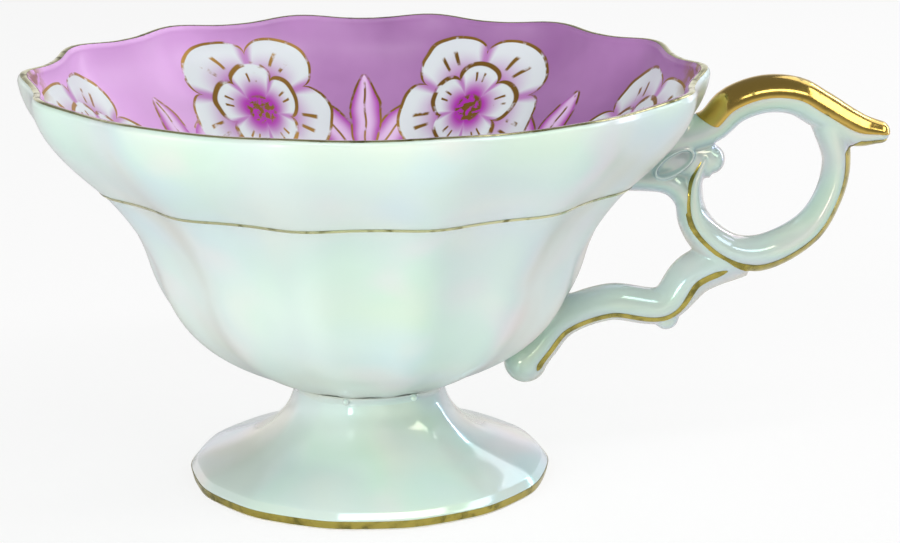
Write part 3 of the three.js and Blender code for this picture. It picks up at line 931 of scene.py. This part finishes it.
# Finishes
def pearl_glaze(name, depth=1.0, gloss=0.06, film=60, biscuit_height=None):
    """White porcelain under a pearl lustre that drifts between green, blue and pink.

    A depth under 1 darkens it as painted shade; film is how far its thin film varies, in nanometres."""
    c = settings().colours
    rough, film_middle = gloss + 0.1, 420
    material, tree, shader = new_material(name, Roughness=rough, IOR=1.62, Thin_Film_IOR=1.34,
                                          Coat_Weight=1.0, Coat_Roughness=gloss, Coat_IOR=1.75)
    vector, (x, y, z) = surface_place(tree)
    # Painted shade where depth is under 1
    tint = [depth * part for part in c.porcelain]
    # Each tone with the size of its clouds, their detail, and where it starts and is full
    drifts = ((c.green, 23, 2, 0.42, 0.66), (c.blue, 17, 1, 0.5, 0.74), (c.pink, 13, 1, 0.52, 0.78))
    for tone, size, detail, low, high in drifts:
        amount = clouds(tree, vector, size, detail=detail).ramp(low, high)
        tint = blended(tree, amount, tint, [depth * part for part in tone])
    film_drift = clouds(tree, vector, 21).ramp(0.28, 0.72, film_middle - film, film_middle + film)
    feed(tree, shader.inputs["Thin Film Thickness"], film_drift)
    if biscuit_height is not None:
        bare = z.ramp(biscuit_height * 0.5, biscuit_height, 1, 0)
        tint = blended(tree, bare, tint, c.biscuit)
        feed(tree, shader.inputs["Roughness"], bare * 0.6 + rough)
    feed(tree, shader.inputs["Base Color"], tint)
    rippled(tree, shader, clouds(tree, vector, 2.4), 0.01)
    return material


def gold_finish(name, bright, wear):
    """Fired gold, rubbed duller and browner in patches."""
    material, tree, shader = new_material(name, Metallic=1.0)
    vector = surface_place(tree)[0]
    rubbed = clouds(tree, vector, 2.2, detail=5).ramp(0.62 - wear, 0.72)
    tint = blended(tree, rubbed, bright, settings().colours.gold_worn)
    feed(tree, shader.inputs["Base Color"], tint)
    feed(tree, shader.inputs["Roughness"], rubbed * 0.2 + clouds(tree, vector, 0.9) * 0.1 + 0.1)
    rippled(tree, shader, clouds(tree, vector, 1.1, detail=4), 0.02)
    return material


class Blossom:
    """A five-petalled blossom on flat fields u and v, in millimetres from its heart."""

    def __init__(self, u, v, radius, turn, line):
        petals, notch, fullness = 5, 0.3, 0.45
        self.line = line
        self.reach = (u * u + v * v) ** 0.5
        self.petal = abs(((v.turn_from(u) + turn) * (petals / 2)).cos())
        self.edge = (self.petal ** fullness) * (notch * radius) + (1 - notch) * radius
        self.share = self.reach / self.edge

    def inside(self):
        return (self.edge - self.reach).ramp(-0.15, 0.15)

    def shade(self):
        """Strong near the heart and between the petals."""
        return self.share.ramp(0.3, 0.85, 1, 0).most(self.petal.ramp(0.05, 0.4, 0.75, 0))

    def lines(self):
        """The outline, and two short strokes on each petal."""
        outline = abs(self.edge - self.reach).ramp(self.line * 0.35, self.line * 0.65, 1, 0)
        across = self.petal.ramp(0.92, 0.94) * self.petal.ramp(0.97, 0.985, 1, 0)
        strokes = across * self.share.ramp(0.58, 0.62) * self.share.ramp(0.78, 0.82, 1, 0)
        return outline.most(strokes)


class Leaf:
    """A pointed leaf on flat fields u and v, in millimetres from the foot of its stem."""

    def __init__(self, u, v, tilt, length, width):
        along = (u * math.sin(tilt) + v * math.cos(tilt)) / length
        self.across = abs(u * math.cos(tilt) - v * math.sin(tilt))
        self.along = along
        self.half = (along - along * along).most(0) * (2 * width)

    def inside(self):
        return (self.half - self.across).ramp(0, 0.3)

    def shade(self):
        return (self.across / (self.half + 0.01)).ramp(0.2, 1).most(self.along.ramp(0, 0.45, 0.8, 0))

    def lines(self):
        edge = abs(self.half - self.across).ramp(0.12, 0.3, 1, 0) * self.half.ramp(0.05, 0.3)
        rib = self.across.ramp(0.1, 0.28, 1, 0) * self.half.ramp(0.4, 0.8)
        return edge.most(rib)


def painted_lining(name):
    """Pink lustre enamel with a band of five-petalled blossoms and leaves, drawn over with gold."""
    c = settings().colours
    material, tree, shader = new_material(name, Coat_Weight=0.1, Coat_Roughness=0.2)
    vector, (x, y, z) = surface_place(tree)
    drift = clouds(tree, vector, 16, detail=3)
    wobble = clouds(tree, vector, 6, detail=1)
    # Painted shade: the ground darkens towards the handle side (+x), with drifting clouds of deeper tone on
    # top
    right_shade_and_drift = x.ramp(-46, 6, 0, 0.8) + drift.ramp(0.3, 0.7, 0, 0.2)
    paint = blended(tree, right_shade_and_drift, c.ground, c.ground_shade_and_drift)
    repeats, band_radius, band_height, slant, sway = 7, 42, 48, 1.23, 1.6
    width = TURN * band_radius / repeats
    place = y.turn_from(x) * (repeats / TURN)
    u, between_u = (((place + shift).fraction() - 0.5) * width + wobble * sway - sway / 2
                    for shift in (0.25, 0.75))
    v = (z - band_height) * slant + drift * sway - sway / 2
    stem_drop, leaf_length, leaf_width = 10, 15, 5.4
    leaves = [Leaf(between_u, v + stem_drop, tilt, leaf_length, leaf_width) for tilt in (-0.75, 0.75, 0)]
    large = Blossom(u, v, radius=13, turn=0.3, line=0.55)
    small = Blossom(u, v, radius=7.4, turn=0.93, line=0.8)
    gilt = leaves[0].lines()
    for motif in (*leaves, large, small):
        pale = c.leaf if motif in leaves else c.petal
        paint = blended(tree, motif.inside(), paint, blended(tree, motif.shade(), pale, c.shade))
        gilt = (gilt * motif.inside().rest()).most(motif.lines())
    worn = clouds(tree, vector, 2.5, detail=3).ramp(0.36, 0.5)
    heart = small.reach.ramp(2.0, 2.6, 1, 0) * clouds(tree, vector, 0.8).ramp(0.44, 0.54)
    # Painted reflection of the gilded lip, with painted shade: gold-brown marks just under the rim on the
    # left and right walls (near y = 0)
    patches = clouds(tree, vector, 1.6, detail=4).ramp(0.4, 0.56)
    painted_side_reflection = abs(y).ramp(2.5, 6, 1, 0) * z.ramp(54.5, 57.5) * patches
    gilt = (gilt * worn).most(heart).most(painted_side_reflection * 0.8)
    feed(tree, shader.inputs["Base Color"], blended(tree, gilt, paint, c.outline))
    feed(tree, shader.inputs["Metallic"], gilt * 0.7)
    feed(tree, shader.inputs["Roughness"], drift * 0.12 + 0.36)
    rippled(tree, shader, clouds(tree, vector, 2.4) + gilt * 0.6, 0.012)
    return material


# Gold
def gild_turned_lines():
    """The gold round the rim, the waist and the edge of the foot."""
    s = settings()
    b, f, layers = s.bowl, s.foot, s.layers
    thin = gold_finish("thin_gold", s.colours.gold_thin, wear=0.12)
    inner = b.lip / 2 + layers.gap
    ends = (math.pi / 2 - layers.rim_lap, math.pi / 2 + layers.rim_lap)
    profile = [*lip_arc(inner + layers.gold, *ends), *reversed(lip_arc(inner, *ends))]
    piece("rim_gold", on_bowl(profile, closed=True), thin, "gold", "rim_gilding")
    parts = (-0.5, -0.25, 0, 0.25, 0.5)
    line = [wall_point(b.waist_height + layers.waist_line * part, 0) for part in parts]
    spare = 0.3 * MM
    clear = math.asin((s.handle.crest_depth / 2 + spare) / b.waist_radius)
    profile = band(line, layers.gap, layers.gold)
    ring = on_bowl(profile, closed=True, start=clear, end=TURN - clear)
    piece("waist_gold", ring, thin, "gold", "waist_gilding")
    bare = 0.2
    edge = [at(f.radius - f.edge_tuck * (1 - bare), f.edge_height * bare), at(f.radius, f.edge_height)]
    profile = band(edge, layers.gap, layers.gold)
    for point in profile:
        point.z = max(point.z, layers.gap)
    edge_gold = gold_finish("foot_edge_gold", s.colours.gold_line, wear=0.22)
    piece("foot_gold", on_foot(profile, closed=True), edge_gold, "gold", "foot_gilding")


def lay_gold(bm, limb, tree, span, angles, grid, tapers=(0.04, 0.04), side=0):
    """Lays a leaf of gold on a limb, over a span of its length and between two angles that may change.

    With side 1 or -1 its first third lies on the face of the handle on that side."""
    gap = settings().layers.gap
    face_share, thinnest = 0.35, 0.03
    start, end = span
    low, high = angles
    away = Vector((0, side, 0))
    made = bmesh.ops.create_grid(bm, x_segments=grid[0], y_segments=grid[1], size=0.5)["verts"]
    for vert in made:
        along, across = vert.co.x + 0.5, vert.co.y
        middle, width = (low(along) + high(along)) / 2, high(along) - low(along)
        for distance, taper in zip((along, 1 - along), tapers):
            if taper:
                width *= math.sqrt(min(max(distance / taper, thinnest), 1))
        point = limb.skin(start + (end - start) * along, middle + width * across)
        if side and along < face_share:
            spot, normal = tree.ray_cast(point + away * limb.sizes[0].y, -away)[:2]
        else:
            spot, normal = tree.find_nearest(point)[:2]
        vert.co = spot + normal * gap


def thicken(bm, tree):
    """Joins leaves of gold that meet, and gives them their thickness away from the porcelain."""
    tidy(bm)
    for leaf in list(shells(bm)):
        facing = sum(face.normal.dot(tree.find_nearest(face.calc_center_median())[1]) for face in leaf)
        if facing < 0:
            bmesh.ops.reverse_faces(bm, faces=list(leaf))
    bmesh.ops.solidify(bm, geom=list(bm.faces), thickness=-settings().layers.gold)
    tidy(bm)


def always(value):
    return lambda along: value


def between(first, last, begin, finish):
    """A value that goes smoothly from first to last between two shares of the way."""
    return lambda along: first + (last - first) * smooth(along, begin, finish)


def gild_crest(tree, finish):
    """The gold over the crest and the thumb rest."""
    lap = settings().layers.crest_lap
    bm = bmesh.new()
    over = always(math.pi - lap), always(math.pi + lap)
    lay_gold(bm, crest_limb(), tree, span=(0.12, 1.9), angles=over, grid=(220, 28), tapers=(0.03, 0))
    thicken(bm, tree)
    piece("crest_gold", bm, finish, "gold", "crest_gilding")


def gild_ring(tree, finish):
    """The line on each face of the ring, the band they join round its back, and that under the thumb rest."""
    half = settings().layers.line_angle
    face, edge = math.radians(56), math.radians(58)
    join, turn_out = 0.56, 0.72
    bm = bmesh.new()
    for side in (-1, 1):
        near = between(side * (face - half), 0, turn_out, 1)
        far = between(side * (face + half), side * edge, turn_out, 1)
        lay_gold(bm, ring_limb(), tree, span=(0.02, join), angles=(near, far), grid=(120, 6),
                 tapers=(0.04, 0), side=side)
    back = always(-edge), always(edge)
    lay_gold(bm, ring_limb(), tree, span=(join, 0.92), angles=back, grid=(90, 12), tapers=(0, 0.04))
    lay_gold(bm, crest_limb(), tree, span=(0.86, 1.5), angles=back, grid=(60, 12))
    thicken(bm, tree)
    piece("ring_gold", bm, finish, "gold", "ring_gilding")


def gild_strut(tree, finish):
    """The lines on the two faces of the strut."""
    half = settings().layers.line_angle
    upper, lower = math.radians(70), math.radians(54)
    for side, node in ((1, "front_strut_gilding"), (-1, "back_strut_gilding")):
        bm = bmesh.new()
        near, far = (between(math.pi + side * upper + edge, math.pi + side * lower + edge, 0.12, 0.28)
                     for edge in (-half, half))
        lay_gold(bm, strut_limb(), tree, span=(0.06, 0.98), angles=(near, far), grid=(140, 6))
        thicken(bm, tree)
        piece(node.replace("gilding", "gold"), bm, finish, "gold", node)


# Stage
def seen(tree, mirrored=1):
    """1 for rays that show the background to the camera, straight or through glass; a share in gloss."""
    path = tree.nodes.new("ShaderNodeLightPath")
    camera, gloss, glass = (Field(tree, path.outputs[name]) for name in
                            ("Is Camera Ray", "Is Glossy Ray", "Is Transmission Ray"))
    return camera.most(gloss * mirrored).most(glass)


def mix_shaders(tree, amount, first, second, output):
    """Sends a mix of two shaders to an output node, by a field from 0 to 1."""
    mix = tree.nodes.new("ShaderNodeMixShader")
    feed(tree, mix.inputs["Fac"], amount)
    tree.links.new(first.outputs[0], mix.inputs[1])
    tree.links.new(second.outputs[0], mix.inputs[2])
    tree.links.new(mix.outputs["Shader"], tree.nodes[output].inputs["Surface"])


def make_floor():
    """A pale floor that is nearly white to the eye and keeps the shadow of the cup."""
    half_width, glow_share, mirrored = 4, 0.82, 0.1
    bm = bmesh.new()
    bmesh.ops.create_grid(bm, x_segments=1, y_segments=1, size=half_width)
    mesh = mesh_from(bm, "floor")
    floor = placed("floor", mesh)
    material, tree, shader = new_material("floor", Base_Color=settings().colours.stage, Roughness=0.9)
    glow = tree.nodes.new("ShaderNodeEmission")
    glow.inputs["Strength"].default_value = 1
    mix_shaders(tree, seen(tree, mirrored) * glow_share, shader, glow, "Material Output")
    mesh.materials.append(material)


def make_world():
    """Even light from all round, and a white background that darkens overhead in reflections."""
    world = bpy.data.worlds.new("studio")
    bpy.context.scene.world = world
    world.use_nodes = True
    tree = world.node_tree
    light = tree.nodes["Background"]
    light.inputs["Strength"].default_value = settings().stage.world
    white = tree.nodes.new("ShaderNodeBackground")
    for background in (light, white):
        background.inputs["Color"].default_value = (1, 1, 1, 1)
    path = tree.nodes.new("ShaderNodeLightPath")
    gloss = Field(tree, path.outputs["Is Glossy Ray"])
    coordinates = tree.nodes.new("ShaderNodeTexCoord")
    parts = tree.nodes.new("ShaderNodeSeparateXYZ")
    tree.links.new(coordinates.outputs["Generated"], parts.inputs["Vector"])
    overhead = Field(tree, parts.outputs["Z"]).ramp(0.1, 0.55, 0, 0.75)
    feed(tree, white.inputs["Strength"], (gloss * overhead).rest())
    mix_shaders(tree, seen(tree), light, white, "World Output")


def make_lamp(name, first, last, width, power):
    """A rectangular soft lamp between two ends, turned to face the cup."""
    first, last = Vector(first), Vector(last)
    place = (first + last) / 2
    back = (place - Vector((0, 0, (CAD_LOW.z + CAD_HIGH.z) / 2))).normalized()
    across = (last - first).cross(back).normalized()
    lamp = bpy.data.lights.new(name, "AREA")
    lamp.shape = "RECTANGLE"
    lamp.size = width
    lamp.size_y = (last - first).length
    lamp.energy = power
    made = placed(name, lamp)
    turn = Matrix((across, back.cross(across), back)).transposed()
    made.matrix_world = Matrix.Translation(place) @ turn.to_4x4()
    return made


def make_lamps():
    """A broad lamp on the left that shows in no reflection, and smaller ones for the highlights."""
    # The two ends of each lamp and its width, in metres
    lamps = {
        "key": ((-0.81, -0.4, 0.2), (-0.03, -0.84, 0.2), 0.7),
        "side": ((0.52, 0.18, 0.02), (0.38, 0.44, 0.35), 0.05),
        "window": ((-0.4, -0.68, 0.02), (-0.4, -0.68, 0.22), 0.16),
        "bar": ((-0.2, -0.42, 0.62), (0.55, -0.4, 0.85), 0.14),
        "back": ((0.54, 0.25, 0.55), (0.58, -0.28, 0.48), 0.2),
        "rear": ((0.2, 0.6, 0.5), (0.5, 0.42, 0.5), 0.3),
    }
    for name, (first, last, width) in lamps.items():
        lamp = make_lamp(name, first, last, width, getattr(settings().stage, name))
        lamp.visible_glossy = name != "key"


def make_camera():
    """The camera, where the photograph was taken from."""
    stage = settings().stage
    data = bpy.data.cameras.new("camera")
    data.sensor_fit = "HORIZONTAL"
    data.sensor_width = 36
    data.lens = stage.focal_length
    data.clip_start = 0.01
    camera = placed("camera", data)
    pitch = Matrix.Rotation(math.pi / 2 - stage.camera_pitch, 3, "X")
    yaw = Matrix.Rotation(-stage.camera_yaw, 3, "Z")
    roll = Matrix.Rotation(stage.camera_roll, 3, "Z")
    place = Matrix.Translation(AXIS + Vector((0, -stage.camera_back, stage.camera_height)))
    camera.matrix_world = place @ (yaw @ pitch @ roll).to_4x4()
    bpy.context.scene.camera = camera


# Operators, one for each piece or group of like pieces
class CUP_OT_bowl(bpy.types.Operator):
    """Makes the panelled bowl"""

    bl_idname = "cup.bowl"
    bl_label = "Bowl"

    def execute(self, context):
        b = settings().bowl
        profile = run([at(0, b.seat_height), *bowl_outside()], lip_arc(b.lip / 2), bowl_inside())
        glaze = pearl_glaze("bowl_pearl_glaze", gloss=0.26, film=30)
        piece("bowl_glazed", on_bowl(profile), glaze, "porcelain", "bowl")
        return {"FINISHED"}


class CUP_OT_lining(bpy.types.Operator):
    """Makes the enamel inside the bowl"""

    bl_idname = "cup.lining"
    bl_label = "Lining"

    def execute(self, context):
        layers = settings().layers
        past_gold = 1.1
        start = math.pi / 2 + layers.rim_lap * past_gold
        inside = run(lip_arc(settings().bowl.lip / 2, start), bowl_inside())
        under = offset(inside, layers.gap)
        over = offset(inside, layers.gap + layers.enamel)
        for line in (under, over):
            line[-1].x = 0
        lining = on_bowl([*reversed(under), *over])
        piece("painted_lining", lining, painted_lining("painted_lining"), "enamel", "interior_enamel")
        return {"FINISHED"}


def foot_slip():
    """The slip in the corner between the foot and the bowl, with the beads that it left there."""
    b, f = settings().bowl, settings().foot
    fillet = f.slip_fillet
    top, inside = foot_top(), b.seat_radius - fillet
    up = leaning(b.seat_slope)
    neck = at(b.seat_radius, top - fillet)
    under = at(b.seat_radius, b.seat_height) + up * fillet
    curve = eased(neck, leaning(0), fillet * 0.75, under, up, fillet * 0.6, points=12)
    bm = on_foot([*curve, at(inside, b.seat_height), at(inside, top - fillet)], closed=True)
    bead_place = at(b.seat_radius + 0.4 * MM, top - 0.1 * MM)
    # The way round from the front in degrees, and the radius in millimetres
    beads = {-17: 0.5, 34: 0.55, 152: 0.5}
    for turn, radius in beads.items():
        around = Matrix.Rotation(math.radians(turn - 90), 3, "Z")
        matrix = Matrix.Translation(AXIS + around @ bead_place)
        bmesh.ops.create_icosphere(bm, subdivisions=3, radius=radius * MM, matrix=matrix)
    return bm


class CUP_OT_foot(bpy.types.Operator):
    """Makes the hollow foot and the slip that holds it to the bowl"""

    bl_idname = "cup.foot"
    bl_label = "Foot"

    def execute(self, context):
        f = settings().foot
        side = foot_side()
        top = foot_top()
        ceiling = top - f.wall
        base = f.radius - f.edge_tuck
        inner = base - f.ring_width
        hollow = [point for point in offset(side, f.wall)
                  if f.edge_height < point.z < ceiling and point.x < inner]
        profile = [
            at(0, top),
            *side,
            at(base, 0),
            at(inner, 0),
            *reversed(hollow),
            at(hollow[0].x, ceiling),
            at(0, ceiling),
        ]
        # Painted shade: the foot's glaze is darkened to 0.94
        glaze = pearl_glaze("foot_pearl_glaze", depth=0.94, gloss=0.09, biscuit_height=0.25)
        piece("foot_glazed", on_foot(profile), glaze, "porcelain", "pedestal_foot")
        piece("foot_slip_fillet", foot_slip(), pearl_glaze("slip_glaze"), "slip", "foot_slip")
        return {"FINISHED"}


class CUP_OT_handle(bpy.types.Operator):
    """Makes the ring handle and the slip that holds it to the bowl"""

    bl_idname = "cup.handle"
    bl_label = "Handle"

    def execute(self, context):
        h = settings().handle
        bm = glazed(handle_solids(), "rough_handle")
        low = cut_low(bm, seated(bm), h.slip)
        divide = h.crown_height + h.strut_width
        high_up = [face.calc_center_median().z > divide for face in low]
        upper = split_off(bm, [face for face, high in zip(low, high_up) if high])
        lower = split_off(bm, [face for face, high in zip(low, high_up) if not high])
        names = ("handle_pearl_glaze", "handle_slip_glaze")
        # Painted shade: the handle and its slip are darkened to 0.78
        glaze, slip = (pearl_glaze(name, depth=0.78) for name in names)
        piece("handle_glazed", closed(bm), glaze, "porcelain", "handle")
        piece("upper_slip_fillet", closed(upper), slip, "slip", "upper_handle_slip")
        piece("lower_slip_fillet", closed(lower), slip, "slip", "lower_handle_slip")
        return {"FINISHED"}


class CUP_OT_gilding(bpy.types.Operator):
    """Makes the gold on the rim, the waist, the foot and the handle"""

    bl_idname = "cup.gilding"
    bl_label = "Gilding"

    def execute(self, context):
        c = settings().colours
        gild_turned_lines()
        bm = bmesh.new()
        bm.from_mesh(bpy.data.objects["handle_glazed"].data)
        tree = tree_of(bm)
        gild_crest(tree, gold_finish("bright_gold", c.gold, wear=0.0))
        dull = gold_finish("line_gold", c.gold_line, wear=0.22)
        gild_ring(tree, dull)
        gild_strut(tree, dull)
        return {"FINISHED"}


class CUP_OT_stage(bpy.types.Operator):
    """Makes the floor, the lamps, the background and the camera"""

    bl_idname = "cup.stage"
    bl_label = "Stage"

    def execute(self, context):
        make_floor()
        make_world()
        make_lamps()
        make_camera()
        context.scene.view_settings.view_transform = "Standard"
        return {"FINISHED"}


PIECES = (CUP_OT_bowl, CUP_OT_lining, CUP_OT_foot, CUP_OT_handle, CUP_OT_gilding, CUP_OT_stage)
GROUPS = (BowlSizes, FootSizes, HandleSizes, LayerSizes, CupColours, StageSettings, CupSettings)


class VIEW3D_PT_footed_cup(bpy.types.Panel):
    """Lists what makes the cup"""

    bl_label = "Footed cup"
    bl_space_type = "VIEW_3D"
    bl_region_type = "UI"
    bl_category = "Cup"

    def draw(self, context):
        for operator in PIECES:
            self.layout.operator(operator.bl_idname)


CLASSES = (*GROUPS, *PIECES, VIEW3D_PT_footed_cup)


def register():
    for cls in CLASSES:
        bpy.utils.register_class(cls)
    bpy.types.Scene.footed_cup = PointerProperty(type=CupSettings)


def unregister():
    del bpy.types.Scene.footed_cup
    for cls in reversed(CLASSES):
        bpy.utils.unregister_class(cls)


def main():
    register()
    bpy.ops.cup.bowl()
    bpy.ops.cup.lining()
    bpy.ops.cup.foot()
    bpy.ops.cup.handle()
    bpy.ops.cup.gilding()
    bpy.ops.cup.stage()


if __name__ == "__main__":
    main()
